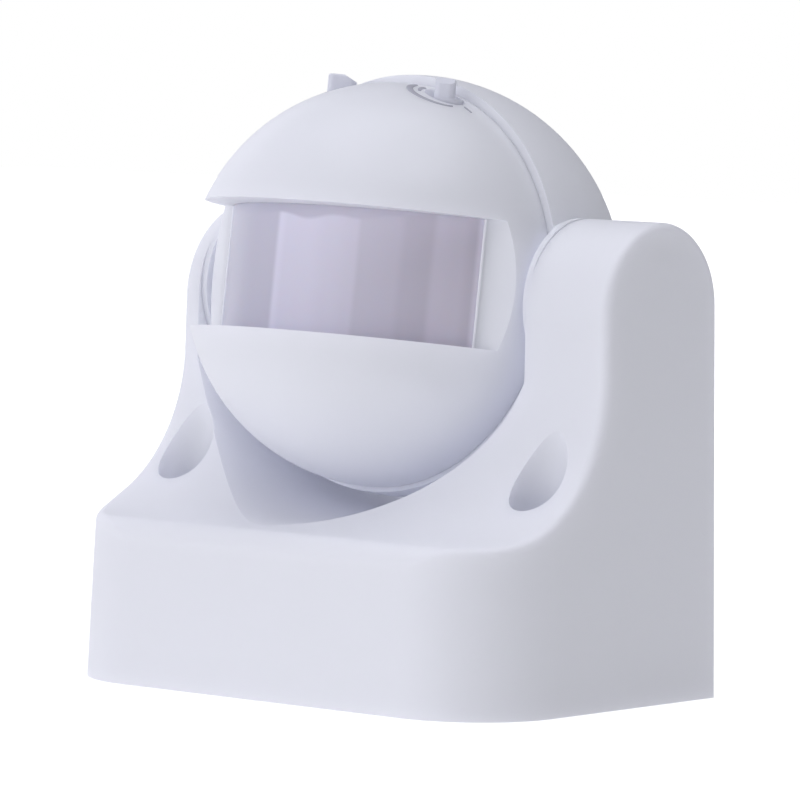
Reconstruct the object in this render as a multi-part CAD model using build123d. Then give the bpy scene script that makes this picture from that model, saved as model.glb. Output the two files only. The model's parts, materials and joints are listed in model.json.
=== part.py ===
from build123d import *
import math
import os

# Outdoor motion sensor: a ball head on a horizontal hinge between the two arms of a hollow base.
# Millimetres, +Z up. The origin is the middle of the base's flat mounting face, which is at z = 0.
# The lens looks along -Y; +X is on the right of the object seen from behind it.

# ---------------------------------------------------------------- driving dimensions
# Base
BASE_W = 87.6            # width at the mounting face
BASE_D = 56.2            # depth at the mounting face
SIDE_DRAFT = 1.35        # degrees, each side leans in towards the top
FRONT_DRAFT = 2.0        # degrees, the front face leans back
CORNER_R = 16.0          # plan radius of the two front corners
WALL = 2.4               # housing wall
SWEEP_R = 24.4           # radius of the concave sweep from the arms down to the front ledge
LEDGE_Z = 25.3           # height of the ledge, the lowest line of the sweep
ARM_FRONT_Y = 0.9        # upright front face of the arms
ARM_TOP_Z = 72.35        # crown of each arm, which is rounded over its full depth
ARM_NOSE_R = 14.4        # the front part of that rounding; the rear part is a little tighter
CREST_R = 3.6            # rounding where the front face turns into the ledge
EDGE_R = 1.4             # rounding along the corners, the sweep and the arms

# Hinge line and head, which sits to the left of the middle: one arm is a plain wall, one is a duct
HEAD_X = -6.1            # middle plane of the head
HINGE_Y = 14.5
HINGE_Z = 59.4
GAP_HALF = 33.0          # half the distance between the arms
CRADLE_R = 35.4          # trough under the head
CRADLE_Z = 60.9          # axis height of the trough

WELL_XS = (-36.0, 34.6)  # screw wells, one in each side of the ledge
WELL_Y = -4.9
WELL_R = 4.3
SCREW_HOLE_R = 2.4
WELL_FLOOR = 6.0

# Bottom plate
PLATE_Z0 = 0.4
PLATE_Z1 = 2.4
PLATE_INSET = 2.7
INLET_X = -14.0          # cable inlet in the bottom plate
INLET_Y = 16.0
INLET_R = 6.0

# Head, in its own frame: origin on the hinge line, lens along -Y, before it is tilted
TILT = 7.3               # degrees the head leans back at rest
REAR_R = 32.65           # rear shell
REAR_Y = -1.2            # its centre, just off the hinge line
REAR_Z = 1.1
FRONT_R = 31.2           # front shell
BALL_Y = -6.75           # its centre
BALL_Z = 0.7
SEAM_Y = -6.05           # joint between the two shells
SPIGOT_Z = 0.75
SHELL = 2.2
FLAT_X = 31.9            # flat hub faces of the head
HUB_R = 12.6
WASHER_R = 13.0
WASHER_T = 1.0
SLEEVE_R = 7.0           # hollow hinge sleeve through the duct arm
SLEEVE_BORE = 4.6
PIN_R = 4.0              # hinge pin in the plain arm
RUN_FIT = 0.1

# Lens window, measured from the centre of the front shell
WIN_TOP = 10.3
WIN_BOTTOM = -9.3
LENS_R = 33.0            # the lens is a shallow arc, set deeper than the ball's own curve
LENS_Y = 12.2            # centre of that arc
LENS_END = 25.4          # half its width
LENS_T = 1.0
LENS_TOP = 11.5
LENS_BOTTOM = -10.5
DRUM_R = 27.15           # inside radius of the shell beside the lens
SHELF_T = 1.2            # shelves from the shell back to the lens, above and below it
JAMB_IN = (25.6, -9.05)    # inner end of the swept-back side wall of the window
JAMB_OUT = (30.4, -6.6)    # where that wall meets the ball

# Adjuster knobs, measured from the centre of the front shell
KNOB_X = 10.4
KNOB_Y = -3.5
KNOB_R = 2.8
KNOB_FLOOR = 25.6
KNOB_TOP = 28.7
FIN_TOP = 31.9
FIN_L = 4.4
FIN_W = 3.0
FIN_ANGLE = 35.0         # degrees, how the fins stand at rest

# Posts that hold the shells together
POST_X = 17.6
POST_Z = 16.2
POST_FRONT_R = 3.0
POST_REAR_R = 3.4

# Circuit board
BOARD_R = 26.3
BOARD_Y0 = -5.75
BOARD_T = 1.6

LEAD_R = 2.4             # sheathed cable inside the duct arm
LEAD_X = 37.0


# ---------------------------------------------------------------- helpers
def block(x0, x1, y0, y1, z0, z1):
    return Pos((x0 + x1) / 2, (y0 + y1) / 2, (z0 + z1) / 2) * Box(x1 - x0, y1 - y0, z1 - z0)


def rod_x(y, z, r, x0, x1):
    return Pos((x0 + x1) / 2, y, z) * Rot(0, 90, 0) * Cylinder(r, x1 - x0)


def rod_y(x, z, r, y0, y1):
    return Pos(x, (y0 + y1) / 2, z) * Rot(90, 0, 0) * Cylinder(r, y1 - y0)


def rod_z(x, y, r, z0, z1):
    return Pos(x, y, (z0 + z1) / 2) * Cylinder(r, z1 - z0)


def ball_at(x, y, z, r):
    return Pos(x, y, z) * Sphere(r)


def prism_x(face_yz, x0, x1):
    # A face drawn in (y, z) and carried from x0 to x1.
    plane = Plane(origin=(x0, 0, 0), x_dir=(0, 1, 0), z_dir=(1, 0, 0))
    return extrude(plane * face_yz, amount=x1 - x0)


def prism_z(points, z0, z1):
    plane = Plane(origin=(0, 0, z0))
    return extrude(plane * make_face(Polyline(*points, close=True)), amount=z1 - z0)


def save(node, *solids):
    pieces = []
    for shape in solids:
        pieces.extend(shape.solids())
    result = pieces[0] if len(pieces) == 1 else Compound(children=pieces)
    export_step(result, "parts/" + node + ".step")
    return result


HEAD_FRAME = Pos(HEAD_X, HINGE_Y, HINGE_Z) * Rot(-TILT, 0, 0)


def save_head(node, *solids):
    moved = [HEAD_FRAME * s for shape in solids for s in shape.solids()]
    return save(node, *moved)


os.makedirs("parts", exist_ok=True)


# ---------------------------------------------------------------- base housing
def side_profile(inset):
    # Outline of the base seen from the side: back, rounded arm top, arm front, sweep, ledge, front.
    back = BASE_D / 2 - inset
    front = ARM_FRONT_Y + inset
    nose_r = ARM_NOSE_R - inset
    nape_r = BASE_D / 2 - ARM_FRONT_Y - ARM_NOSE_R - inset
    crown_y = ARM_FRONT_Y + ARM_NOSE_R
    crown_z = ARM_TOP_Z - inset
    sweep_r = SWEEP_R + inset
    sweep_y = ARM_FRONT_Y - SWEEP_R
    sweep_z = LEDGE_Z + SWEEP_R
    ledge = LEDGE_Z - inset
    nose = -BASE_D / 2 + inset
    lean = math.tan(math.radians(FRONT_DRAFT))
    crest_r = CREST_R - inset
    reach = crest_r * math.tan((math.pi / 2 - math.atan(lean)) / 2)
    low_z = ledge - reach * math.cos(math.atan(lean))
    low_y = nose + low_z * lean
    high_y = nose + ledge * lean + reach
    bulge = math.radians(45) + math.atan(lean) / 2
    crest_mid = (high_y - crest_r * math.cos(bulge), ledge - crest_r + crest_r * math.sin(bulge))
    lines = Polyline((back, 0), (nose, 0), (low_y, low_z))
    lines += ThreePointArc((low_y, low_z), crest_mid, (high_y, ledge))
    lines += Line((high_y, ledge), (sweep_y, ledge))
    s = math.sqrt(0.5)
    sweep_mid = (sweep_y + sweep_r * s, sweep_z - sweep_r * s)
    lines += ThreePointArc((sweep_y, ledge), sweep_mid, (sweep_y + sweep_r, sweep_z))
    nose_z = crown_z - nose_r
    nape_z = crown_z - nape_r
    lines += Line((front, sweep_z), (front, nose_z))
    nose_mid = (crown_y - nose_r * s, nose_z + nose_r * s)
    lines += ThreePointArc((front, nose_z), nose_mid, (crown_y, crown_z))
    nape_mid = (crown_y + nape_r * s, nape_z + nape_r * s)
    lines += ThreePointArc((crown_y, crown_z), nape_mid, (back, nape_z))
    lines += Line((back, nape_z), (back, 0))
    return make_face(lines)


def plan_block(inset, height, corner):
    # Drafted block with its two front corners rounded.
    lean = math.tan(math.radians(SIDE_DRAFT))
    half = BASE_W / 2 - inset
    tip = half - height * lean
    front = make_face(Polyline((-half, 0), (half, 0), (tip, height), (-tip, height), close=True))
    plane = Plane(origin=(0, BASE_D / 2 - inset, 0), x_dir=(1, 0, 0), z_dir=(0, -1, 0))
    body = extrude(plane * front, amount=BASE_D - 2 * inset)
    nose = -BASE_D / 2 + inset
    slope = math.tan(math.radians(FRONT_DRAFT)) * height
    wedge_face = make_face(Polyline((nose, 0), (nose + slope, height), (nose - 5, height), close=True))
    body = body - prism_x(wedge_face, -half - 5, half + 5)
    edges = body.edges().filter_by(lambda e: abs((e @ 0.5).Y - nose) < slope + 0.5
                                   and abs((e @ 0.5).X) > tip - 1.0
                                   and abs((e @ 0).Z - (e @ 1).Z) > height * 0.9)
    return fillet(edges, corner)


top_z = ARM_TOP_Z + 0.65
housing = plan_block(0, top_z + 2, CORNER_R) & prism_x(side_profile(0), -BASE_W, BASE_W)

# One small rounding runs round each front corner, up the sweep and over the arm.
rim = housing.edges().filter_by(lambda e: (e @ 0.5).Z > 20
                                and abs((e @ 0.5).X) > BASE_W / 2 - CORNER_R
                                and abs((e @ 0).X + (e @ 1).X) > 1)
housing = fillet(rim, EDGE_R)

# Trough and slot for the head.
shoulder_z = CRADLE_Z - math.sqrt(CRADLE_R ** 2 - GAP_HALF ** 2)
trough = rod_y(HEAD_X, CRADLE_Z, CRADLE_R, -60, 60) & block(-90, 90, -60, 60, 0, shoulder_z)
slot = block(HEAD_X - GAP_HALF, HEAD_X + GAP_HALF, -60, 60, shoulder_z, 120)
housing = housing - trough - slot

# Inside: one room under the trough that runs up into the duct arm.
room = plan_block(WALL, top_z + 2, CORNER_R - WALL) & prism_x(side_profile(WALL), -BASE_W, BASE_W)
lid = rod_y(HEAD_X, CRADLE_Z, CRADLE_R + WALL, -60, 60) & block(-90, 90, -60, 60, 0, shoulder_z)
lid += block(HEAD_X - GAP_HALF - WALL, HEAD_X + GAP_HALF + WALL, -60, 60, shoulder_z, 120)
room = room - lid
main_room = max(room.solids(), key=lambda s: s.volume)
for wx in WELL_XS:
    main_room = main_room - rod_z(wx, WELL_Y, WELL_R + 1.8, PLATE_Z1, 60)
main_room = max(main_room.solids(), key=lambda s: s.volume)
housing = housing - main_room

# Screw wells, and the hole in the floor of each.
for wx in WELL_XS:
    housing = housing - rod_z(wx, WELL_Y, WELL_R, WELL_FLOOR, 60)
    housing = housing - rod_z(wx, WELL_Y, SCREW_HOLE_R, -1, WELL_FLOOR + 1)

# Seat for the bottom plate.
seat = plan_block(PLATE_INSET - 0.9, 12, CORNER_R - PLATE_INSET + 0.9)
housing = housing - (seat & block(-90, 90, -60, 60, -1, PLATE_Z1))

# Posts for the four plate screws.
PLATE_POSTS = [(-26.0, 22.6), (26.0, 22.6), (-22.0, -21.4), (22.0, -21.4)]
for px, py in PLATE_POSTS:
    post = rod_z(px, py, 3.2, PLATE_Z1, 24.0) - rod_z(px, py, 1.2, 0, 13.0)
    housing = housing + post

# Round recesses for the hinge washers where they dip into the shoulders of the trough.
for x0, x1 in ((HEAD_X - GAP_HALF, HEAD_X - FLAT_X + 0.4), (HEAD_X + FLAT_X - 0.4, HEAD_X + GAP_HALF)):
    housing = housing - rod_x(HINGE_Y, HINGE_Z, WASHER_R + 0.4, x0, x1)

# Hinge holes in the two arms.
housing = housing - rod_x(HINGE_Y, HINGE_Z, SLEEVE_R + RUN_FIT, HEAD_X + GAP_HALF - 1, HEAD_X + GAP_HALF + WALL + 1)
housing = housing - rod_x(HINGE_Y, HINGE_Z, PIN_R + RUN_FIT, -60, HEAD_X - GAP_HALF + 1)
housing = max(housing.solids(), key=lambda s: s.volume)
save("base_housing", housing)

# ---------------------------------------------------------------- bottom plate
plate = plan_block(PLATE_INSET - 0.7, 12, CORNER_R - PLATE_INSET + 0.7)
plate = plate & block(-90, 90, -60, 60, PLATE_Z0, PLATE_Z1)
for wx in WELL_XS:
    plate = plate - rod_z(wx, WELL_Y, SCREW_HOLE_R, -1, 5)
for px, py in PLATE_POSTS:
    plate = plate - rod_z(px, py, 1.5, -1, 5) - rod_z(px, py, 2.7, -1, PLATE_Z0 + 1.0)
plate = plate - rod_z(INLET_X, INLET_Y, INLET_R, -1, 5)
save("base_plate", plate)

plate_screws = []
for px, py in PLATE_POSTS:
    screw = rod_z(px, py, 2.5, PLATE_Z0, PLATE_Z0 + 1.0) + rod_z(px, py, 1.2, PLATE_Z0 + 1.0, 11.5)
    slot_a = block(px - 1.6, px + 1.6, py - 0.3, py + 0.3, PLATE_Z0 - 1, PLATE_Z0 + 0.6)
    slot_b = block(px - 0.3, px + 0.3, py - 1.6, py + 1.6, PLATE_Z0 - 1, PLATE_Z0 + 0.6)
    plate_screws.append(screw - slot_a - slot_b)
save("plate_screws", *plate_screws)

# Rubber grommet that closes the cable inlet until it is pierced.
grommet = rod_z(INLET_X, INLET_Y, INLET_R + 1.6, PLATE_Z1, PLATE_Z1 + 1.4)
grommet += rod_z(INLET_X, INLET_Y, INLET_R, PLATE_Z0, PLATE_Z1)
grommet = grommet - rod_z(INLET_X, INLET_Y, INLET_R - 1.6, -1, PLATE_Z1 + 0.2)
groove = rod_z(INLET_X, INLET_Y, 3.1, PLATE_Z1 + 1.0, 9) - rod_z(INLET_X, INLET_Y, 2.6, 0, 9)
grommet = grommet - groove
save("inlet_grommet", grommet)

# ---------------------------------------------------------------- mains terminals on the plate
TERM_X = (8.0, -1.0, -10.0)
TERM_Y0 = -6.0
TERM_Y1 = 8.0
TERM_Z1 = 14.4
terminal = block(-15.5, 13.5, TERM_Y0, TERM_Y1, PLATE_Z1, TERM_Z1)
cages = []
tscrews = []
for tx in TERM_X:
    terminal = terminal - rod_y(tx, 7.4, 2.0, TERM_Y0 - 1, TERM_Y1 + 1)
    terminal = terminal - rod_z(tx, 1.0, 2.2, 7.4, TERM_Z1 + 1)
    cage = rod_y(tx, 7.4, 2.0, TERM_Y0 + 1.5, TERM_Y1 - 1.5)
    cage = cage - rod_y(tx, 7.4, 1.4, TERM_Y0, TERM_Y1)
    cage = cage - rod_z(tx, 1.0, 1.5, 7.4, TERM_Z1)
    cages.append(cage)
    head = rod_z(tx, 1.0, 2.1, 10.6, 12.4) + rod_z(tx, 1.0, 1.4, 9.0, 10.6)
    tscrews.append(head - block(tx - 2.5, tx + 2.5, 0.6, 1.4, 11.5, 13))
save("terminal_block", terminal)
save("terminal_cages", *cages)
save("terminal_screws", *tscrews)

# Strap that grips the incoming cable, with its two screws.
STRAP_X = (-23.8, -4.2)
strap = block(STRAP_X[0] - 1.8, STRAP_X[1] + 1.8, 10.4, 13.6, 9.2, 11.2)
for cx in STRAP_X:
    strap = strap + block(cx - 1.8, cx + 1.8, 10.4, 13.6, PLATE_Z1, 9.2)
strap_screws = []
for cx in STRAP_X:
    strap = strap - rod_z(cx, 12.0, 1.0, PLATE_Z1 + 1.0, 12)
    s = rod_z(cx, 12.0, 1.7, 11.2, 12.5) + rod_z(cx, 12.0, 1.0, 4.2, 11.2)
    strap_screws.append(s - block(cx - 2, cx + 2, 11.7, 12.3, 11.9, 13))
save("cable_strap", strap)
save("strap_screws", *strap_screws)

# Sheathed lead from the terminals up the duct arm and through the hinge sleeve.
lead_path = FilletPolyline(
    (HEAD_X + 24.1, HINGE_Y, HINGE_Z),
    (LEAD_X, HINGE_Y, HINGE_Z),
    (LEAD_X, HINGE_Y, 7.4),
    (24.4, HINGE_Y, 7.4),
    radius=[4.2, 7.0],
)
start = Plane(origin=lead_path @ 0, z_dir=lead_path % 0)
sheath = sweep(start * Circle(LEAD_R), path=lead_path)
save("duct_lead", sheath)

# Its three cores, into the terminals.
cores = []
end_point = lead_path @ 1
for i, tx in enumerate(TERM_X):
    y_run = end_point.Y - 1.5 + 1.5 * i
    path = FilletPolyline(
        (end_point.X, y_run, 7.4),
        (tx, y_run, 7.4),
        (tx, TERM_Y1 - 3.0, 7.4),
        radius=2.0,
    )
    run = Plane(origin=path @ 0, z_dir=path % 0)
    cores.append(sweep(run * Circle(0.65), path=path))
save("lead_cores", *cores)


# ---------------------------------------------------------------- head: front shell
# The inside of the front shell: a dome above and below the lens, a straight drum beside it.
inner_r = FRONT_R - SHELL
low = LENS_BOTTOM - 0.1
high = LENS_TOP + 0.1
drum = DRUM_R
low_r = math.sqrt(inner_r ** 2 - low ** 2)
high_r = math.sqrt(inner_r ** 2 - high ** 2)
half_angle = (math.atan2(high, high_r) + math.pi / 2) / 2
dome_mid = (inner_r * math.cos(half_angle), 0, inner_r * math.sin(half_angle))
bowl_angle = -(math.atan2(-low, low_r) + math.pi / 2) / 2
bowl_mid = (inner_r * math.cos(bowl_angle), 0, inner_r * math.sin(bowl_angle))
outline = Polyline((low_r, 0, low), (drum, 0, low), (drum, 0, high), (high_r, 0, high))
outline += ThreePointArc((high_r, 0, high), dome_mid, (0, 0, inner_r))
outline += Line((0, 0, inner_r), (0, 0, -inner_r))
outline += ThreePointArc((0, 0, -inner_r), bowl_mid, (low_r, 0, low))
hollow = Pos(0, BALL_Y, BALL_Z) * Rot(0, 0, -60) * revolve(make_face(outline), axis=Axis.Z)
ball = Pos(0, BALL_Y, BALL_Z) * Rot(90, 0, 0) * Sphere(FRONT_R)
front_half = block(-60, 60, -90, SEAM_Y, -60, 60)
front_shell = (ball - hollow) & front_half
inner_ball = Pos(0, BALL_Y, BALL_Z) * Rot(0, 0, -60) * Sphere(inner_r)
front_shell = front_shell - (inner_ball & block(-60, 60, BALL_Y - 4.0, 0, -60, 60))

# Window slot right across the front, between its two swept-back side walls.
jx = JAMB_OUT[0] + 1.6 * (JAMB_OUT[0] - JAMB_IN[0])
jy = JAMB_OUT[1] + 1.6 * (JAMB_OUT[1] - JAMB_IN[1])
window = prism_z(
    [
        (-JAMB_IN[0], JAMB_IN[1] + BALL_Y),
        (JAMB_IN[0], JAMB_IN[1] + BALL_Y),
        (jx, jy + BALL_Y),
        (jx, BALL_Y - 50),
        (-jx, BALL_Y - 50),
        (-jx, jy + BALL_Y),
    ],
    BALL_Z + WIN_BOTTOM,
    BALL_Z + WIN_TOP,
)
front_shell = front_shell - window

# Shelves that close the window above and below, from the shell back to the lens.
for z0 in (BALL_Z + WIN_TOP, BALL_Z + WIN_BOTTOM - SHELF_T):
    shelf = Pos(0, BALL_Y, 0) * rod_z(0, 0, DRUM_R + 0.9, z0, z0 + SHELF_T)
    shelf = shelf - Pos(0, BALL_Y + LENS_Y, 0) * rod_z(0, 0, LENS_R + 0.05, -40, 40)
    front_shell = front_shell + (shelf & block(-60, 60, -90, BALL_Y - 6.0, -60, 60))

# Spigot that enters the rear shell, with a groove for the seal. It stops short of the hinge hubs.
hubs = block(-60, 60, SEAM_Y, 5, -13.4, 13.4)
spigot = rod_y(0, SPIGOT_Z, 30.0, SEAM_Y - 2.9, SEAM_Y) + rod_y(0, SPIGOT_Z, 29.4, SEAM_Y, SEAM_Y + 2.6)
spigot = spigot - rod_y(0, SPIGOT_Z, 27.9, SEAM_Y - 4, SEAM_Y + 4)
groove = rod_y(0, SPIGOT_Z, 29.6, SEAM_Y + 0.4, SEAM_Y + 1.6) - rod_y(0, SPIGOT_Z, 28.7, SEAM_Y, SEAM_Y + 2)
spigot = spigot - groove - hubs
front_shell = front_shell + spigot

# Screw posts up to the seam, and a short post that carries the board.
for sx in (-1, 1):
    for sz in (-1, 1):
        post = rod_y(sx * POST_X, sz * POST_Z, POST_FRONT_R, -40, SEAM_Y)
        post = post & ball_at(0, BALL_Y, BALL_Z, FRONT_R - 1.0)
        post = post - rod_y(sx * POST_X, sz * POST_Z, 1.1, -19.0, 0)
        front_shell = front_shell + post
BOARD_POST_X = 0.0
BOARD_POST_Z = -21.8
post = rod_y(BOARD_POST_X, BOARD_POST_Z, 2.6, -40, BOARD_Y0) & ball_at(0, BALL_Y, BALL_Z, FRONT_R - 1.0)
front_shell = front_shell + (post - rod_y(BOARD_POST_X, BOARD_POST_Z, 0.9, -15.0, 0))

# Pockets for the two adjuster knobs.
for sx in (-1, 1):
    hole = Pos(sx * KNOB_X, BALL_Y + KNOB_Y, 0) * rod_z(0, 0, KNOB_R + 0.3, BALL_Z + 20, BALL_Z + 40)
    front_shell = front_shell - hole
front_shell = front_shell - rod_x(0, 0, SLEEVE_R, 26, 40)
front_shell = max(front_shell.solids(), key=lambda s: s.volume)
save_head("front_shell", front_shell)

# ---------------------------------------------------------------- head: rear shell
rear_half = block(-60, 60, SEAM_Y, 90, -60, 60)
flats = block(-FLAT_X, FLAT_X, -90, 90, -60, 60)
globe = ball_at(0, REAR_Y, REAR_Z, REAR_R)
rear_shell = ((globe & flats) - ball_at(0, REAR_Y, REAR_Z, REAR_R - SHELL)) & rear_half
for x0, x1 in ((-FLAT_X, -27.8), (27.8, FLAT_X)):
    rear_shell = rear_shell + (rod_x(0, 0, HUB_R, x0, x1) & rear_half)
for sx in (-1, 1):
    for sz in (-1, 1):
        post = rod_y(sx * POST_X, sz * POST_Z, POST_REAR_R, SEAM_Y, 40) & globe
        rear_shell = rear_shell + post
for sx in (-1, 1):
    for sz in (-1, 1):
        rear_shell = rear_shell - rod_y(sx * POST_X, sz * POST_Z, 1.4, -10, 40)
        rear_shell = rear_shell - rod_y(sx * POST_X, sz * POST_Z, 2.8, 4.0, 40)
rear_shell = rear_shell - rod_x(0, 0, SLEEVE_R, 26, 40) - rod_x(0, 0, PIN_R, -40, -26)
rear_shell = max(rear_shell.solids(), key=lambda s: s.volume)
save_head("rear_shell", rear_shell)

# Seal in the groove of the spigot.
seal = rod_y(0, SPIGOT_Z, 29.6, SEAM_Y + 0.5, SEAM_Y + 1.5) - rod_y(0, SPIGOT_Z, 28.75, -9, 0) - hubs
save_head("seam_seal", seal)

# ---------------------------------------------------------------- head: lens and its retainer
lens_axis = Pos(0, BALL_Y + LENS_Y, 0)
lens_span = block(-LENS_END, LENS_END, -90, BALL_Y - 4.0, -60, 60)
lens = lens_axis * rod_z(0, 0, LENS_R, BALL_Z + LENS_BOTTOM, BALL_Z + LENS_TOP)
lens = (lens - lens_axis * rod_z(0, 0, LENS_R - LENS_T, -40, 40)) & lens_span
save_head("fresnel_lens", lens)

RETAINER_R = LENS_R - LENS_T - 0.05
retainer = lens_axis * rod_z(0, 0, RETAINER_R, BALL_Z + LENS_BOTTOM, BALL_Z + LENS_TOP)
retainer = (retainer - lens_axis * rod_z(0, 0, RETAINER_R - 1.2, -40, 40)) & lens_span
retainer = retainer - block(-23.6, 23.6, -90, 0, BALL_Z - 9.0, BALL_Z + 10.0)
save_head("lens_retainer", retainer)

# ---------------------------------------------------------------- head: hinge hardware
# Each flange has a flat on its front side, clear of the front shell.
flange_half = block(-60, 60, SEAM_Y + 0.4, 60, -60, 60)
sleeve = rod_x(0, 0, SLEEVE_R, 27.8, 40.2) + (rod_x(0, 0, 10.0, 26.6, 27.8) & flange_half)
sleeve = sleeve - rod_x(0, 0, SLEEVE_BORE, 20, 50)
save_head("hinge_sleeve", sleeve)

pin = rod_x(0, 0, PIN_R, -36.0, -27.8) + (rod_x(0, 0, 8.0, -27.8, -26.6) & flange_half)
pin = pin - rod_x(0, 0, 1.6, -37, -30)
save_head("hinge_pin", pin)

washer_r = rod_x(0, 0, WASHER_R, FLAT_X, FLAT_X + WASHER_T) - rod_x(0, 0, SLEEVE_R, 20, 50)
save_head("duct_side_washer", washer_r)
washer_l = rod_x(0, 0, WASHER_R, -FLAT_X - WASHER_T, -FLAT_X) - rod_x(0, 0, PIN_R, -50, -20)
save_head("wall_side_washer", washer_l)

arm_in = GAP_HALF + WALL
spring = rod_x(0, 0, 10.0, arm_in + 0.1, arm_in + 0.9) - rod_x(0, 0, SLEEVE_R, 20, 50)
save_head("spring_washer", spring)
nut = rod_x(0, 0, 10.0, arm_in + 0.9, arm_in + 4.1)
for k in range(6):
    a = math.radians(60 * k)
    cut = Pos(0, 10.6 * math.cos(a), 10.6 * math.sin(a)) * Rot(60 * k, 0, 0) * Box(90, 2.0, 3.0)
    nut = nut - cut
nut = nut - rod_x(0, 0, SLEEVE_R, 20, 50)
save_head("hub_nut", nut)

# ---------------------------------------------------------------- head: circuit board
board_y1 = BOARD_Y0 + BOARD_T
board = rod_y(0, 0, BOARD_R, BOARD_Y0, board_y1)
for sx in (-1, 1):
    for sz in (-1, 1):
        board = board - rod_y(sx * POST_X, sz * POST_Z, POST_REAR_R + 0.4, -20, 20)
board = board - rod_y(BOARD_POST_X, BOARD_POST_Z, 1.1, -20, 20)
board = board & block(-60, 60, -20, 20, -60, 22.5)
board = max(board.solids(), key=lambda s: s.volume)
save_head("circuit_board", board)

bx = BOARD_POST_X
bz = BOARD_POST_Z
board_screw = rod_y(bx, bz, 2.0, board_y1, board_y1 + 1.4) + rod_y(bx, bz, 0.9, -14.0, board_y1)
board_screw = board_screw - block(bx - 3, bx + 3, board_y1 + 0.8, 9, bz - 0.3, bz + 0.3)
save_head("board_screw", board_screw)

shell_screws = []
for sx in (-1, 1):
    for sz in (-1, 1):
        x = sx * POST_X
        z = sz * POST_Z
        s = rod_y(x, z, 2.5, 4.0, 5.8) + rod_y(x, z, 1.1, -17.0, 4.0)
        s = s - block(x - 1.8, x + 1.8, 5.0, 9, z - 0.35, z + 0.35)
        s = s - block(x - 0.35, x + 0.35, 5.0, 9, z - 1.8, z + 1.8)
        shell_screws.append(s)
save_head("shell_screws", *shell_screws)

# Heat detector behind the lens: collar, can and window.
DET_Z = 1.0
collar = rod_y(0, DET_Z, 6.6, BOARD_Y0 - 4.0, BOARD_Y0) - rod_y(0, DET_Z, 4.75, BOARD_Y0 - 9, BOARD_Y0 + 1)
save_head("detector_collar", collar)
can = rod_y(0, DET_Z, 4.7, BOARD_Y0 - 5.0, BOARD_Y0) - block(-2.0, 2.0, BOARD_Y0 - 9, BOARD_Y0 - 4.4, DET_Z - 1.5, DET_Z + 1.5)
save_head("heat_detector", can)
pane = block(-2.0, 2.0, BOARD_Y0 - 4.9, BOARD_Y0 - 4.4, DET_Z - 1.5, DET_Z + 1.5)
save_head("detector_pane", pane)

# Light cell, indicator and controller on the lens side of the board.
cell = rod_y(-11.5, -6.0, 2.5, BOARD_Y0 - 2.2, BOARD_Y0)
save_head("light_cell", cell)
lamp = rod_y(11.5, -6.0, 1.5, BOARD_Y0 - 3.4, BOARD_Y0) + ball_at(11.5, BOARD_Y0 - 3.4, -6.0, 1.5)
save_head("indicator_lamp", lamp)
chip = block(-4.5, 4.5, BOARD_Y0 - 1.6, BOARD_Y0, -15.5, -9.5)
save_head("control_chip", chip)

# Relay, capacitors, diodes and resistor on the rear side.
relay = block(-17.5, 1.5, board_y1, board_y1 + 15.0, 1.8, 12.3)
save_head("relay", relay)
film = block(4.0, 13.6, board_y1, board_y1 + 12.0, 6.5, 12.0)
save_head("film_capacitor", film)
bulk = rod_y(-8.0, -12.5, 5.0, board_y1, board_y1 + 13.0)
save_head("bulk_capacitor", bulk)
diodes = []
for i in range(4):
    diodes.append(rod_x(board_y1 + 1.4, -8.0 - 3.6 * i, 1.3, 3.0, 8.4))
save_head("diodes", *[d + block(4.6, 6.8, board_y1, board_y1 + 1.4, -8.4 - 3.6 * i, -7.6 - 3.6 * i)
                      for i, d in enumerate(diodes)])
resistor = rod_x(board_y1 + 2.6, -8.5, 2.4, 11.5, 22.0)
resistor += block(15.0, 18.5, board_y1, board_y1 + 2.6, -9.3, -7.7)
save_head("power_resistor", resistor)

# Trimmers under the knobs, on the lens side of the board.
TRIM_Y1 = BOARD_Y0
trimmers = []
for sx in (-1, 1):
    x = sx * KNOB_X
    y = BALL_Y + KNOB_Y
    body = block(x - 3.3, x + 3.3, y - 3.3, TRIM_Y1, BALL_Z + 15.2, BALL_Z + 21.2)
    body = body - Pos(x, y, 0) * rod_z(0, 0, 1.6, BALL_Z + 17.0, BALL_Z + 30)
    trimmers.append(body)
save_head("trimmers", *trimmers)

# Cores inside the head, from the hinge sleeve to the board.
inner_cores = []
for i in range(3):
    z = -1.5 + 1.5 * i
    path = FilletPolyline((23.5, 0, z), (17.0 + 2.0 * i, 0, z), (17.0 + 2.0 * i, board_y1, z), radius=1.6)
    run = Plane(origin=path @ 0, z_dir=path % 0)
    inner_cores.append(sweep(run * Circle(0.65), path=path))
save_head("head_cores", *inner_cores)


# ---------------------------------------------------------------- knobs
def knob(sx, angle):
    x = sx * KNOB_X
    y = BALL_Y + KNOB_Y
    body = rod_z(0, 0, KNOB_R, BALL_Z + KNOB_FLOOR, BALL_Z + KNOB_TOP)
    body = body + rod_z(0, 0, 1.5, BALL_Z + 17.2, BALL_Z + KNOB_FLOOR)
    fin = block(-FIN_L / 2, FIN_L / 2, -FIN_W / 2, FIN_W / 2, BALL_Z + KNOB_TOP, BALL_Z + FIN_TOP)
    ends = fin.edges().filter_by(Axis.Z)
    fin = fillet(ends, 0.9)
    crown = fin.faces().sort_by(Axis.Z)[-1].edges()
    fin = fillet(crown, 0.4)
    # One end of the fin slopes down, which points it.
    slope = Pos(FIN_L / 2 - 0.48, 0, BALL_Z + FIN_TOP + 0.385) * Rot(0, 27.8, 0) * Box(6, FIN_W + 1, 2)
    fin = fin - slope
    return Pos(x, y, 0) * Rot(0, 0, angle) * (body + fin)


save_head("time_knob", knob(1, FIN_ANGLE - 90))
save_head("light_knob", knob(-1, FIN_ANGLE))
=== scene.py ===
import json
import math

import bmesh
import bpy
from mathutils import Matrix, Vector


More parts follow.
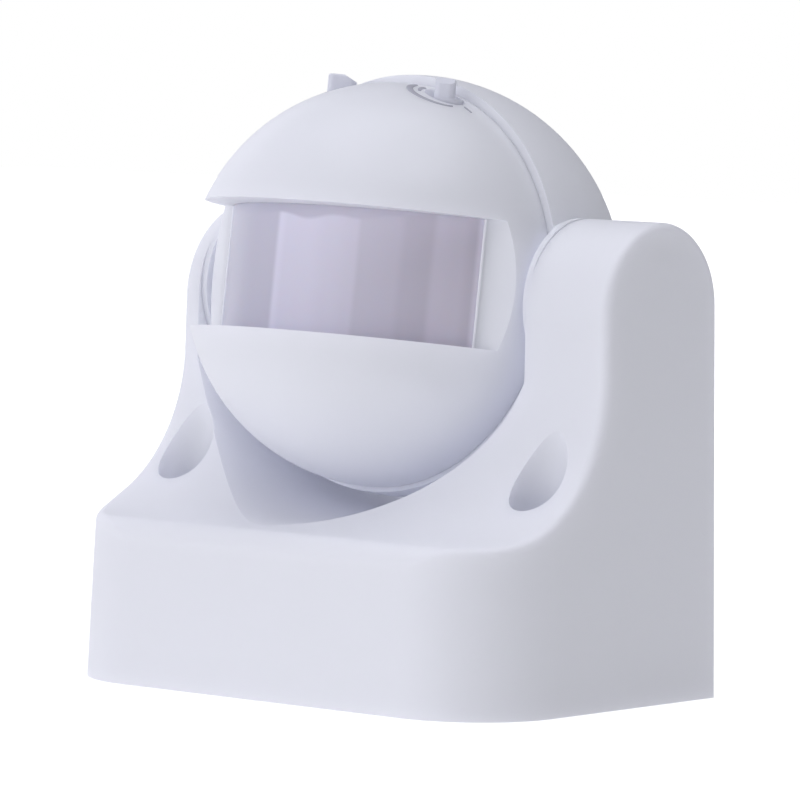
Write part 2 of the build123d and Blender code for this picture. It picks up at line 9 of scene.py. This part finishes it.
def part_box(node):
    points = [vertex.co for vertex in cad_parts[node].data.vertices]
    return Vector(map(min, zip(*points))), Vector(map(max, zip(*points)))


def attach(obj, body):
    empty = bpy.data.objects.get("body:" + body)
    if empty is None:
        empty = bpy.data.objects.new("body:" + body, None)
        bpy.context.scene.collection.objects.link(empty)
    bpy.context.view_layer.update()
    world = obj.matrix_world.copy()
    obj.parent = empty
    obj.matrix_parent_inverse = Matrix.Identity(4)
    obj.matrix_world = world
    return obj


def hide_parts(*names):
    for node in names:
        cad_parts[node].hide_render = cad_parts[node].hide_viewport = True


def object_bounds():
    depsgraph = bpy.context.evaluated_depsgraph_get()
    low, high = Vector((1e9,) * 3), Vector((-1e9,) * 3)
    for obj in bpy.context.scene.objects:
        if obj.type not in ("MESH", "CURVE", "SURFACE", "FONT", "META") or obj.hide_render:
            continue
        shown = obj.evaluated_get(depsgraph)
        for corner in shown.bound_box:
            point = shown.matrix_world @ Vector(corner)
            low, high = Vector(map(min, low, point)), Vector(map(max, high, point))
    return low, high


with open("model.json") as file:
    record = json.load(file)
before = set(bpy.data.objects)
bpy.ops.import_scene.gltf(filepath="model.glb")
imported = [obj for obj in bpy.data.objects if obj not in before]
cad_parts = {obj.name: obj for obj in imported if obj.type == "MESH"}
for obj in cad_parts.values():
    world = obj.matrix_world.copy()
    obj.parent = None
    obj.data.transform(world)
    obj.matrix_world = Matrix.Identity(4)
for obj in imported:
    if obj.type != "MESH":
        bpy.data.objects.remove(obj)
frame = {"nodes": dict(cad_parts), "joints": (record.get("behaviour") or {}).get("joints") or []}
cad_lo, cad_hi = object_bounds()

# ---------------------------------------------------------------- the head's own frame
# Millimetres, origin on the hinge line, lens along -Y, before the head is tilted at rest.
TILT = math.radians(7.3)
BALL_Y = -6.75                # centre and radius of the front shell's ball
BALL_Z = 0.7
BALL_R = 31.2

# The lens is a strip of an upright cylinder, from below the ball's middle to above it.
LENS_R = 33.0
LENS_INNER_R = 32.02
LENS_CENTRE_Y = BALL_Y + 12.2
LENS_HALF_WIDTH = 25.35
LENS_LO = BALL_Z - 10.45
LENS_HI = BALL_Z + 11.45
LENS_COLUMNS = 264            # mesh columns across the lens
LENS_FACETS = 22              # upright facets across its lowest row
ROW_HEIGHTS = (6.0, 13.0)     # where one row of facets gives way to the next, above the lens's foot
ROW_STEP = 0.02
ROW_DENSITY = (1.0, 0.75, 0.5)
RIDGES_PER_FACET = 6
RIDGE_DEPTH = 0.30

# A rounded bead closes the gap at each end of the lens.
BEAD_X = 25.45
BEAD_R = 0.30
BEAD_OUT = 0.05               # how far its centre stands in front of the lens's curve
BEAD_LO = BALL_Z - 9.25
BEAD_HI = BALL_Z + 10.25
BEAD_STEPS = 12

# Adjusters on the crown, and the raised scale marks beside them, coloured dark grey as painted shade of
# engraved strokes.
KNOB_X = 10.4
KNOB_Y = -3.5
MARK_LIFT = 0.10              # top of a mark above the ball
MARK_SINK = 0.12              # how far its flanks reach into the ball
ARC_STEPS = 28
DASH_START = (3.85, 0.4)      # from the adjuster's axis
DASH_STEP = 0.35
DASH_POINTS = 5
DASH_WIDTH = 0.34

tilt_joint = next(j for j in frame["joints"] if j["name"] == "head_tilt")
HINGE = Vector(tilt_joint["pos_m"])
HEAD = Matrix.Translation(HINGE) @ Matrix.Rotation(-TILT, 4, "X") @ Matrix.Scale(0.001, 4)


def in_head(x, y, z):
    return HEAD @ Vector((x, y, z))


# ---------------------------------------------------------------- materials
def mix_colour(tree, factor, first, second):
    """Colour between the first and the second, by the factor."""
    mix = tree.nodes.new("ShaderNodeMix")
    mix.data_type = "RGBA"
    tree.links.new(factor, mix.inputs["Factor"])
    mix.inputs["A"].default_value = (*first, 1)
    mix.inputs["B"].default_value = (*second, 1)
    return mix.outputs["Result"]


def remap(tree, value, from_lo, from_hi, to_lo, to_hi):
    """Value carried from one range to another, held at the ends."""
    span = tree.nodes.new("ShaderNodeMapRange")
    tree.links.new(value, span.inputs["Value"])
    span.inputs["From Min"].default_value = from_lo
    span.inputs["From Max"].default_value = from_hi
    span.inputs["To Min"].default_value = to_lo
    span.inputs["To Max"].default_value = to_hi
    return span.outputs["Result"]


def start(name):
    """A new material: itself, its node tree, its shader and the object's own coordinates."""
    mat = bpy.data.materials.new(name)
    mat.use_nodes = True
    tree = mat.node_tree
    shader = tree.nodes["Principled BSDF"]
    coords = tree.nodes.new("ShaderNodeTexCoord").outputs["Object"]
    return mat, tree, shader, coords


def noise(tree, coords, scale, detail=2.0, distortion=0.0):
    """Smooth noise, from 0 to 1."""
    texture = tree.nodes.new("ShaderNodeTexNoise")
    tree.links.new(coords, texture.inputs["Vector"])
    texture.inputs["Scale"].default_value = scale
    texture.inputs["Detail"].default_value = detail
    texture.inputs["Distortion"].default_value = distortion
    return texture.outputs["Fac"]


def bump(tree, shader, height, distance):
    """Fine relief on the surface; the distance is in metres."""
    relief = tree.nodes.new("ShaderNodeBump")
    relief.inputs["Strength"].default_value = 0.6
    relief.inputs["Distance"].default_value = distance
    tree.links.new(height, relief.inputs["Height"])
    tree.links.new(relief.outputs["Normal"], shader.inputs["Normal"])


def moulded(name, colour, second, rough=0.42, grain=2600.0, depth=0.000006, soft=0.0):
    """Moulded plastic: a slow drift of tint, uneven gloss and a very fine tool-mark grain."""
    mat, tree, shader, coords = start(name)
    drift = noise(tree, coords, 26.0, 1.0)
    tree.links.new(mix_colour(tree, drift, colour, second), shader.inputs["Base Color"])
    gloss = noise(tree, coords, 60.0, 1.0)
    uneven = remap(tree, gloss, 0.0, 1.0, rough - 0.04, rough + 0.04)
    tree.links.new(uneven, shader.inputs["Roughness"])
    shader.inputs["Specular IOR Level"].default_value = 0.42
    shader.inputs["Subsurface Weight"].default_value = soft
    shader.inputs["Subsurface Radius"].default_value = (1.0, 0.95, 1.0)
    shader.inputs["Subsurface Scale"].default_value = 0.004
    bump(tree, shader, noise(tree, coords, grain, 2.0), depth)
    return mat


def metal(name, colour, second, rough=0.32):
    """Plated or bare metal: streaks of tint and gloss, and a very fine grain."""
    mat, tree, shader, coords = start(name)
    streak = noise(tree, coords, 900.0, 3.0, 0.4)
    tint = mix_colour(tree, remap(tree, streak, 0.3, 0.7, 0, 1), colour, second)
    tree.links.new(tint, shader.inputs["Base Color"])
    uneven = remap(tree, streak, 0.3, 0.7, rough - 0.08, rough + 0.1)
    tree.links.new(uneven, shader.inputs["Roughness"])
    shader.inputs["Metallic"].default_value = 1.0
    bump(tree, shader, noise(tree, coords, 2700.0, 2.0), 0.000008)
    return mat


shell_mat = moulded("shell_plastic", (0.940, 0.946, 0.985), (0.946, 0.952, 0.988), rough=0.42, soft=0.45)
head_mat = moulded("head_plastic", (0.940, 0.947, 0.985), (0.946, 0.953, 0.988), rough=0.36, soft=0.45)
knob_mat = moulded("knob_plastic", (0.820, 0.828, 0.880), (0.835, 0.842, 0.892), rough=0.36, soft=0.05)
edge_mat = moulded(
    "lens_edge_plastic", (0.960, 0.962, 0.985), (0.968, 0.970, 0.988), rough=0.22, soft=0.10)
# The scale marks' dark grey is painted shade, standing for the shadow in engraved strokes.
mark_shade_mat = moulded("mark_painted_shade", (0.46, 0.46, 0.51), (0.49, 0.49, 0.54), rough=0.40)
rubber = moulded("seal_rubber", (0.028, 0.028, 0.030), (0.045, 0.045, 0.048), rough=0.72, depth=0.00002)
grommet_mat = moulded(
    "grommet_rubber", (0.055, 0.055, 0.058), (0.075, 0.075, 0.078), rough=0.68, depth=0.00002)
dark = moulded("dark_plastic", (0.018, 0.018, 0.020), (0.030, 0.030, 0.033), rough=0.45)
epoxy = moulded("component_epoxy", (0.022, 0.022, 0.024), (0.032, 0.032, 0.036), rough=0.38)
terminal_mat = moulded("terminal_plastic", (0.62, 0.60, 0.54), (0.66, 0.64, 0.58), rough=0.5)
sheath_mat = moulded("lead_sheath", (0.060, 0.060, 0.064), (0.085, 0.085, 0.09), rough=0.55)
relay_mat = moulded("relay_case", (0.018, 0.055, 0.20), (0.025, 0.070, 0.24), rough=0.35)
film_mat = moulded("film_capacitor_case", (0.36, 0.040, 0.022), (0.42, 0.052, 0.03), rough=0.3)
trim_mat = moulded("trimmer_case", (0.58, 0.56, 0.50), (0.62, 0.60, 0.55), rough=0.45)
cell_mat = moulded("light_cell_face", (0.30, 0.10, 0.035), (0.42, 0.16, 0.05), rough=0.25, grain=700.0)
lamp_mat = moulded("lamp_plastic", (0.42, 0.020, 0.015), (0.50, 0.030, 0.02), rough=0.15)
pane_mat = moulded("detector_window", (0.030, 0.028, 0.034), (0.045, 0.040, 0.050), rough=0.12)
resistor_mat = moulded("resistor_ceramic", (0.26, 0.33, 0.36), (0.31, 0.38, 0.41), rough=0.6)
steel = metal("plated_steel", (0.60, 0.60, 0.61), (0.70, 0.70, 0.71))
can_mat = metal("detector_can", (0.58, 0.57, 0.53), (0.66, 0.65, 0.62), rough=0.25)
brass = metal("terminal_brass", (0.62, 0.43, 0.16), (0.72, 0.52, 0.22))


def board_material():
    """Glass-epoxy board: woven tint under a glossy resist, with faint copper runs."""
    mat, tree, shader, coords = start("circuit_board_resist")
    weave = tree.nodes.new("ShaderNodeTexWave")
    weave.inputs["Scale"].default_value = 420.0
    weave.inputs["Distortion"].default_value = 1.5
    tree.links.new(coords, weave.inputs["Vector"])
    base = mix_colour(tree, weave.outputs["Fac"], (0.012, 0.095, 0.040), (0.018, 0.125, 0.055))
    cells = tree.nodes.new("ShaderNodeTexVoronoi")
    cells.distance = "CHEBYCHEV"
    cells.inputs["Scale"].default_value = 260.0
    tree.links.new(coords, cells.inputs["Vector"])
    runs = remap(tree, cells.outputs["Distance"], 0.42, 0.46, 0, 0.55)
    traced = tree.nodes.new("ShaderNodeMix")
    traced.data_type = "RGBA"
    tree.links.new(runs, traced.inputs["Factor"])
    tree.links.new(base, traced.inputs["A"])
    traced.inputs["B"].default_value = (0.04, 0.21, 0.09, 1)
    tree.links.new(traced.outputs["Result"], shader.inputs["Base Color"])
    tree.links.new(remap(tree, weave.outputs["Fac"], 0, 1, 0.28, 0.4), shader.inputs["Roughness"])
    bump(tree, shader, weave.outputs["Fac"], 0.00001)
    return mat


def core_material():
    """Wire insulation, a different tint on each core."""
    mat, tree, shader, coords = start("core_insulation")
    split = tree.nodes.new("ShaderNodeSeparateXYZ")
    tree.links.new(coords, split.inputs["Vector"])
    ramp = tree.nodes.new("ShaderNodeValToRGB")
    ramp.color_ramp.interpolation = "CONSTANT"
    ramp.color_ramp.elements[0].color = (0.16, 0.065, 0.025, 1)
    ramp.color_ramp.elements[1].position = 0.45
    ramp.color_ramp.elements[1].color = (0.03, 0.10, 0.36, 1)
    third = ramp.color_ramp.elements.new(0.7)
    third.color = (0.10, 0.30, 0.06, 1)
    tree.links.new(remap(tree, split.outputs["X"], -0.012, 0.012, 0, 1), ramp.inputs["Fac"])
    tree.links.new(ramp.outputs["Color"], shader.inputs["Base Color"])
    gloss = remap(tree, noise(tree, coords, 500.0), 0.3, 0.7, 0.35, 0.5)
    tree.links.new(gloss, shader.inputs["Roughness"])
    bump(tree, shader, noise(tree, coords, 2400.0), 0.00001)
    return mat


# How bright the lens is across its width, as painted light and shade of the facets with a painted
# highlight down each edge: (place from left to right, level).
LENS_PAINTED_LIGHT = (
    (0.00, 0.620), (0.016, 0.620), (0.022, 0.378), (0.22, 0.378), (0.375, 0.388), (0.400, 0.500),
    (0.43, 0.476), (0.52, 0.468), (0.60, 0.448), (0.68, 0.432), (0.700, 0.385), (0.80, 0.388),
    (0.83, 0.360), (0.885, 0.350), (0.905, 0.395), (0.955, 0.382), (0.985, 0.350), (0.992, 0.430),
    (1.00, 0.430),
)


def painted_lens_light(tree, place):
    """Painted light and shade across the lens, eased between the listed levels."""
    ramp = tree.nodes.new("ShaderNodeValToRGB")
    stops = ramp.color_ramp
    stops.interpolation = "EASE"
    ends = (LENS_PAINTED_LIGHT[0], LENS_PAINTED_LIGHT[-1])
    for stop, (position, level) in zip(stops.elements, ends):
        stop.position = position
        stop.color = (level, level, level, 1)
    for position, level in LENS_PAINTED_LIGHT[1:-1]:
        stops.elements.new(position).color = (level, level, level, 1)
    tree.links.new(place, ramp.inputs["Fac"])
    return ramp.outputs["Color"]


def lens_material():
    """Milky sheet: soft upright bands of painted light and shade where the moulded facets gather light, on
    a grey-white body.
    """
    mat, tree, shader, coords = start("lens_polyethylene")
    lo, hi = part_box("fresnel_lens")
    split = tree.nodes.new("ShaderNodeSeparateXYZ")
    tree.links.new(coords, split.inputs["Vector"])
    # The bands' upper ends and sides wander a little.
    shift = remap(tree, noise(tree, coords, 95.0, 1.0), 0, 1, -0.0016, 0.0016)
    height = tree.nodes.new("ShaderNodeMath")
    height.operation = "ADD"
    tree.links.new(split.outputs["Z"], height.inputs[0])
    tree.links.new(shift, height.inputs[1])
    across = tree.nodes.new("ShaderNodeMath")
    across.operation = "MULTIPLY_ADD"
    across.inputs[1].default_value = 0.10
    tree.links.new(shift, across.inputs[0])
    tree.links.new(split.outputs["X"], across.inputs[2])
    painted_bands = painted_lens_light(tree, remap(tree, across.outputs["Value"], lo.x, hi.x, 0, 1))
    # The painted bands fade just under the top of the window into a flat grey, painted shade under the
    # window's upper lip.
    fade = remap(tree, height.outputs["Value"], hi.z - 0.0030, hi.z - 0.0025, 1, 0)
    blend = tree.nodes.new("ShaderNodeMix")
    blend.data_type = "RGBA"
    blend.inputs["A"].default_value = (0.368, 0.368, 0.372, 1)
    tree.links.new(fade, blend.inputs["Factor"])
    tree.links.new(painted_bands, blend.inputs["B"])
    # A tint, cooler on the left than on the right.
    tint = mix_colour(tree, remap(tree, split.outputs["X"], lo.x, hi.x, 0, 1),
                      (1.62, 1.60, 1.82), (1.69, 1.58, 1.77))
    tinted = tree.nodes.new("ShaderNodeMix")
    tinted.data_type = "RGBA"
    tinted.blend_type = "MULTIPLY"
    tinted.inputs["Factor"].default_value = 1.0
    tree.links.new(blend.outputs["Result"], tinted.inputs["A"])
    tree.links.new(tint, tinted.inputs["B"])
    tree.links.new(tinted.outputs["Result"], shader.inputs["Base Color"])
    gloss = remap(tree, noise(tree, coords, 160.0), 0.0, 1.0, 0.26, 0.34)
    tree.links.new(gloss, shader.inputs["Roughness"])
    shader.inputs["Specular IOR Level"].default_value = 0.35
    shader.inputs["Subsurface Weight"].default_value = 0.15
    shader.inputs["Subsurface Scale"].default_value = 0.0015
    bump(tree, shader, noise(tree, coords, 900.0), 0.000006)
    return mat


board_mat = board_material()
core_mat = core_material()
lens_mat = lens_material()

BY_NODE = {
    "base_housing": shell_mat, "base_plate": shell_mat, "plate_screws": steel,
    "inlet_grommet": grommet_mat,
    "terminal_block": terminal_mat, "terminal_cages": brass, "terminal_screws": steel,
    "cable_strap": terminal_mat, "strap_screws": steel, "duct_lead": sheath_mat, "lead_cores": core_mat,
    "front_shell": head_mat, "rear_shell": head_mat, "seam_seal": rubber, "lens_retainer": head_mat,
    "hinge_sleeve": shell_mat, "hinge_pin": shell_mat, "duct_side_washer": shell_mat,
    "wall_side_washer": shell_mat, "spring_washer": steel, "hub_nut": dark, "circuit_board": board_mat,
    "board_screw": steel, "shell_screws": steel, "detector_collar": dark, "heat_detector": can_mat,
    "detector_pane": pane_mat, "light_cell": cell_mat, "indicator_lamp": lamp_mat, "control_chip": epoxy,
    "relay": relay_mat, "film_capacitor": film_mat, "bulk_capacitor": epoxy, "diodes": epoxy,
    "power_resistor": resistor_mat, "trimmers": trim_mat, "head_cores": core_mat,
    "time_knob": knob_mat, "light_knob": knob_mat, "fresnel_lens": lens_mat,
}
for name, cad in frame["nodes"].items():
    cad.data.materials.clear()
    cad.data.materials.append(BY_NODE[name])


# ---------------------------------------------------------------- mesh pieces
def piece(name, verts, faces, mat, body, sharp=35):
    """A closed mesh on a CAD body, shaded smooth but for edges sharper than the given angle."""
    mesh = bpy.data.meshes.new(name)
    mesh.from_pydata([tuple(v) for v in verts], [], faces)
    mesh.validate()
    bm = bmesh.new()
    bm.from_mesh(mesh)
    bmesh.ops.recalc_face_normals(bm, faces=bm.faces)
    for face in bm.faces:
        face.smooth = True
    for edge in bm.edges:
        edge.smooth = len(edge.link_faces) == 2 and edge.calc_face_angle() < math.radians(sharp)
    bm.to_mesh(mesh)
    bm.free()
    obj = bpy.data.objects.new(name, mesh)
    bpy.context.scene.collection.objects.link(obj)
    mesh.materials.append(mat)
    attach(obj, body)
    return obj


def facet_lens():
    """The lens: smooth outside, upright stepped facets in three rows on the inside."""
    half_angle = math.asin(LENS_HALF_WIDTH / LENS_R)
    rows = [LENS_LO]
    for height in ROW_HEIGHTS:
        rows += [LENS_LO + height, LENS_LO + (height + ROW_STEP)]
    rows.append(LENS_HI)
    verts = []
    for k, z in enumerate(rows):
        density = ROW_DENSITY[k // 2]
        for i in range(LENS_COLUMNS + 1):
            angle = -half_angle + 2 * half_angle * i / LENS_COLUMNS
            along = (i / LENS_COLUMNS * LENS_FACETS * density) % 1.0
            ridge = abs(((along * RIDGES_PER_FACET) % 1.0) - 0.5) * RIDGE_DEPTH
            inner_r = LENS_INNER_R + ridge * (0.4 + 0.6 * abs(2 * along - 1))
            for r in (LENS_R, inner_r):
                verts.append(in_head(r * math.sin(angle), LENS_CENTRE_Y - r * math.cos(angle), z))
    row = 2 * (LENS_COLUMNS + 1)
    faces = []
    for k in range(len(rows) - 1):
        for i in range(LENS_COLUMNS):
            a = k * row + 2 * i
            faces.append((a, a + 2, a + row + 2, a + row))
            faces.append((a + 1, a + row + 1, a + row + 3, a + 3))
    top = (len(rows) - 1) * row
    for i in range(LENS_COLUMNS):
        a = 2 * i
        b = top + 2 * i
        faces.append((a, a + 1, a + 3, a + 2))
        faces.append((b, b + 2, b + 3, b + 1))
    for k in range(len(rows) - 1):
        a = k * row
        b = a + 2 * LENS_COLUMNS
        faces.append((a, a + row, a + row + 1, a + 1))
        faces.append((b, b + 1, b + row + 1, b + row))
    lens = piece("lens_faceted", verts, faces, lens_mat, "head", sharp=30)
    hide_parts("fresnel_lens")


def lens_edge(name, side):
    """The turned edge of the lens sheet: a slim rounded bead down one end of the window."""
    angle = math.asin(BEAD_X / LENS_R)
    bead_y = LENS_CENTRE_Y - LENS_R * math.cos(angle) - BEAD_OUT
    verts = []
    for z in (BEAD_LO, BEAD_HI):
        for i in range(BEAD_STEPS):
            a = 2 * math.pi * i / BEAD_STEPS
            verts.append(in_head(side * BEAD_X + BEAD_R * math.cos(a), bead_y + BEAD_R * math.sin(a), z))
    faces = []
    for i in range(BEAD_STEPS):
        j = (i + 1) % BEAD_STEPS
        faces.append((i, j, j + BEAD_STEPS, i + BEAD_STEPS))
    faces.append(tuple(range(BEAD_STEPS)))
    faces.append(tuple(range(BEAD_STEPS, 2 * BEAD_STEPS)))
    obj = piece(name, verts, faces, edge_mat, "head", sharp=50)


facet_lens()
lens_edge("lens_edge_left", -1)
lens_edge("lens_edge_right", 1)


def on_ball(x, y, lift):
    """Point on the front shell's top, from plan offsets to the ball's centre."""
    r = BALL_R + lift
    z = math.sqrt(max(r * r - x * x - y * y, 0.0))
    return in_head(x, BALL_Y + y, BALL_Z + z)


def raised_stroke(name, path, widths):
    """A raised moulded stroke on the ball, with sloping flanks, from a centre line and its widths; its
    dark grey is painted shade.
    """
    profile = (
        (-1.1, -MARK_SINK), (-1.0, MARK_LIFT * 0.6), (-0.7, MARK_LIFT),
        (0.7, MARK_LIFT), (1.0, MARK_LIFT * 0.6), (1.1, -MARK_SINK),
    )
    sides = len(profile)
    count = len(path)
    verts = []
    for i, (x, y) in enumerate(path):
        x0, y0 = path[max(i - 1, 0)]
        x1, y1 = path[min(i + 1, count - 1)]
        run = math.hypot(x1 - x0, y1 - y0)
        across_x = -(y1 - y0) / run
        across_y = (x1 - x0) / run
        half = widths[i] / 2
        for side, height in profile:
            verts.append(on_ball(x + across_x * half * side, y + across_y * half * side, height))
    faces = []
    for i in range(count - 1):
        for k in range(sides):
            a = i * sides + k
            b = i * sides + (k + 1) % sides
            faces.append((a, b, b + sides, a + sides))
    faces.append(tuple(range(sides)))
    faces.append(tuple(range((count - 1) * sides, count * sides)))
    obj = piece(name, verts, faces, mark_shade_mat, "head", sharp=60)


def arc_stroke(name, centre_x, radii, angles, ends):
    """A stroke that winds round an adjuster; its radius, angle and width run from first to last."""
    path = []
    widths = []
    for i in range(ARC_STEPS + 1):
        t = i / ARC_STEPS
        angle = math.radians(angles[0] + (angles[1] - angles[0]) * t)
        radius = radii[0] + (radii[1] - radii[0]) * t
        path.append((centre_x + radius * math.cos(angle), KNOB_Y + radius * math.sin(angle)))
        # The blunt end is rounded over the first twelfth or so of the stroke.
        blunt = 0.35 + 0.65 * math.sqrt(min(1.0, t / 0.08))
        widths.append((ends[0] + (ends[1] - ends[0]) * t) * blunt)
    raised_stroke(name, path, widths)


def dash_stroke(name, centre_x):
    """A short straight dash at the far end of a scale."""
    path = [(centre_x + DASH_START[0] + DASH_STEP * i, KNOB_Y + DASH_START[1]) for i in range(DASH_POINTS)]
    raised_stroke(name, path, [DASH_WIDTH] * DASH_POINTS)


# Scale beside each adjuster: a long stroke and a short one that taper, and a short dash.
for side, centre_x in (("right", KNOB_X), ("left", -KNOB_X)):
    arc_stroke("scale_long_" + side, centre_x, (5.95, 3.95), (178, 330), (1.20, 0.26))
    arc_stroke("scale_short_" + side, centre_x, (3.9, 3.9), (184, 228), (0.95, 0.40))
    dash_stroke("scale_dash_" + side, centre_x)


# ---------------------------------------------------------------- stage
FLOOR_SIZE = 3.2
FLOOR_COLOUR = (0.78, 0.78, 0.785)
FLOOR_GLOW = 0.26


def floor_material():
    """Pale paper sweep, which glows evenly to the eye and only gently on the object."""
    mat, tree, shader, coords = start("floor_paper")
    faint = tuple(c * 0.995 for c in FLOOR_COLOUR)
    tint = mix_colour(tree, noise(tree, coords, 3.0), FLOOR_COLOUR, faint)
    tree.links.new(tint, shader.inputs["Base Color"])
    shader.inputs["Roughness"].default_value = 0.9
    shader.inputs["Specular IOR Level"].default_value = 0.1
    shader.inputs["Emission Color"].default_value = (1, 1, 1, 1)
    reach = tree.nodes.new("ShaderNodeVectorMath")
    reach.operation = "LENGTH"
    tree.links.new(coords, reach.inputs[0])
    # The glow grows from the object outwards, so that no horizon shows.
    seen = remap(tree, reach.outputs["Value"], 0.10, 0.55, FLOOR_GLOW * 2.3, 1.0)
    ray = tree.nodes.new("ShaderNodeLightPath")
    level = tree.nodes.new("ShaderNodeMix")
    level.inputs["A"].default_value = FLOOR_GLOW
    tree.links.new(ray.outputs["Is Camera Ray"], level.inputs["Factor"])
    tree.links.new(seen, level.inputs["B"])
    tree.links.new(level.outputs["Result"], shader.inputs["Emission Strength"])
    return mat


bpy.ops.mesh.primitive_plane_add(size=FLOOR_SIZE, location=(0, 0, cad_lo.z - 0.0002))
floor = bpy.context.object
floor.name = "floor"
floor.data.materials.append(floor_material())


AIM = (0, 0, 0.045)
LIGHT_COLOUR = (0.965, 0.982, 1.05)


def softbox(name, place, size, power):
    """A rectangular area light, aimed at the object's middle."""
    data = bpy.data.lights.new(name, "AREA")
    data.shape = "RECTANGLE"
    data.size = size[0]
    data.size_y = size[1]
    data.energy = power
    data.color = LIGHT_COLOUR
    lamp = bpy.data.objects.new(name, data)
    bpy.context.scene.collection.objects.link(lamp)
    lamp.location = place
    lamp.rotation_mode = "QUATERNION"
    lamp.rotation_quaternion = (Vector(AIM) - Vector(place)).to_track_quat("-Z", "Y")


softbox("key_front", (-0.36, -1.15, 0.14), (1.2, 0.7), 3.12)
softbox("rim_left", (-0.95, 0.35, 0.30), (0.7, 0.7), 0.8)
softbox("top_fill", (0.05, 0.05, 1.2), (1.2, 1.2), 6.6)

ROOM_COLOUR = (0.965, 0.965, 1.09, 1)
ROOM_BRIGHT_SIDE = (-0.66, -0.68, 0.32)
ROOM_LEVELS = (0.16, 0.58)


def studio_world():
    """A room that is bright in front and on the left, dimmer on the right, and white to the eye."""
    world = bpy.data.worlds.new("studio")
    bpy.context.scene.world = world
    world.use_nodes = True
    tree = world.node_tree
    room = tree.nodes["Background"]
    room.inputs["Color"].default_value = ROOM_COLOUR
    direction = tree.nodes.new("ShaderNodeTexCoord").outputs["Generated"]
    facing = tree.nodes.new("ShaderNodeVectorMath")
    facing.operation = "DOT_PRODUCT"
    facing.inputs[1].default_value = ROOM_BRIGHT_SIDE
    tree.links.new(direction, facing.inputs[0])
    tree.links.new(remap(tree, facing.outputs["Value"], -0.5, 0.9, *ROOM_LEVELS), room.inputs["Strength"])
    white = tree.nodes.new("ShaderNodeBackground")
    white.inputs["Color"].default_value = (1, 1, 1, 1)
    white.inputs["Strength"].default_value = 1.0
    pick = tree.nodes.new("ShaderNodeMixShader")
    ray = tree.nodes.new("ShaderNodeLightPath")
    tree.links.new(ray.outputs["Is Camera Ray"], pick.inputs["Fac"])
    tree.links.new(room.outputs["Background"], pick.inputs[1])
    tree.links.new(white.outputs["Background"], pick.inputs[2])
    tree.links.new(pick.outputs["Shader"], tree.nodes["World Output"].inputs["Surface"])


studio_world()
bpy.context.scene.view_settings.view_transform = "Standard"
# White plastic lights its own hollows: light is followed through enough bounces for that.
bpy.context.scene.cycles.max_bounces = 16
bpy.context.scene.cycles.diffuse_bounces = 12

# ---------------------------------------------------------------- camera
AZIMUTH = math.radians(40.198)
ELEVATION = math.radians(4.132)
ROLL = math.radians(1.0135)
DISTANCE = 0.92293
FOCAL_LENGTH = 272.9
TARGET = Vector((0.00366, -0.0004, 0.044145))
away = Vector((
    math.sin(AZIMUTH) * math.cos(ELEVATION),
    -math.cos(AZIMUTH) * math.cos(ELEVATION),
    math.sin(ELEVATION),
))
right = Vector((math.cos(AZIMUTH), math.sin(AZIMUTH), 0))
up = away.cross(right)
right_rolled = right * math.cos(ROLL) + up * math.sin(ROLL)
up_rolled = up * math.cos(ROLL) - right * math.sin(ROLL)
camera_data = bpy.data.cameras.new("camera")
camera_data.lens = FOCAL_LENGTH
camera_data.sensor_width = 36.0
camera_data.clip_start = 0.05
camera_data.clip_end = 20
camera = bpy.data.objects.new("camera", camera_data)
bpy.context.scene.collection.objects.link(camera)
turn = Matrix((right_rolled, up_rolled, away)).transposed().to_4x4()
camera.matrix_world = Matrix.Translation(TARGET + away * DISTANCE) @ turn
bpy.context.scene.camera = camera
